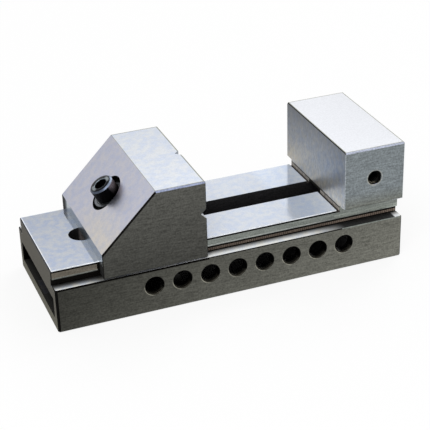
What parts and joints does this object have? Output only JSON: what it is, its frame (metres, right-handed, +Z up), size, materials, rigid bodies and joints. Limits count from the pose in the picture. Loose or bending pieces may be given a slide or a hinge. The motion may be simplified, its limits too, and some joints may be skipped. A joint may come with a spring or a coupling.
{
  "type": "precision vise",
  "caption": "Precision tool vise with a fixed jaw on a slotted, ported body and a slant-backed sliding jaw pulled down by a tilting cap screw into a cross nut.",
  "frame": {"origin": "middle of the body's underside, where the vise stands, with the box's centre above it", "axes": "+X along the body towards the fixed jaw, +Z up, +Y to the far side of the body"},
  "size_m": [0.19, 0.073, 0.067],
  "materials": {
    "ground_body_steel": "hardened and ground",
    "ground_jaw_steel": "hardened and ground",
    "black_oxide_steel": "black oxide",
    "turned_washer_steel": "turned, bright",
    "turned_nut_steel": "turned, hardened"
  },
  "bodies": {
    "base": {"vise_body": "ground_body_steel"},
    "jaw": {"sliding_jaw": "ground_jaw_steel"},
    "swivel": {"spherical_washer": "turned_washer_steel"},
    "screw": {"lock_screw": "black_oxide_steel"},
    "nut": {"cross_nut": "turned_nut_steel"}
  },
  "joints": [
    {"name": "jaw_slide", "type": "slide", "parent": "base", "child": "jaw", "axis": [1, 0, 0], "range_m": [-0.025, 0.0755]},
    {"name": "screw_tilt", "type": "hinge", "parent": "jaw", "child": "swivel", "pos_m": [-0.0584, 0, 0.0584], "axis": [0, 1, 0], "range_deg": [-7, 3.25]},
    {"name": "screw_turn", "type": "hinge", "parent": "swivel", "child": "screw", "pos_m": [-0.0584, 0, 0.0584], "axis": [-0.5, 0, 0.866], "range_deg": [-548, 1181]},
    {"name": "nut_travel", "type": "slide", "parent": "swivel", "child": "nut", "axis": [0.5, 0, -0.866], "range_m": [-0.0019, 0.0041]}
  ],
  "couplings": [
    {"joint": "screw_turn", "follows": "nut_travel", "rad_per_m": 5026.5},
    {"joint": "screw_tilt", "follows": "nut_travel", "rad_per_m": -29.671}
  ]
}
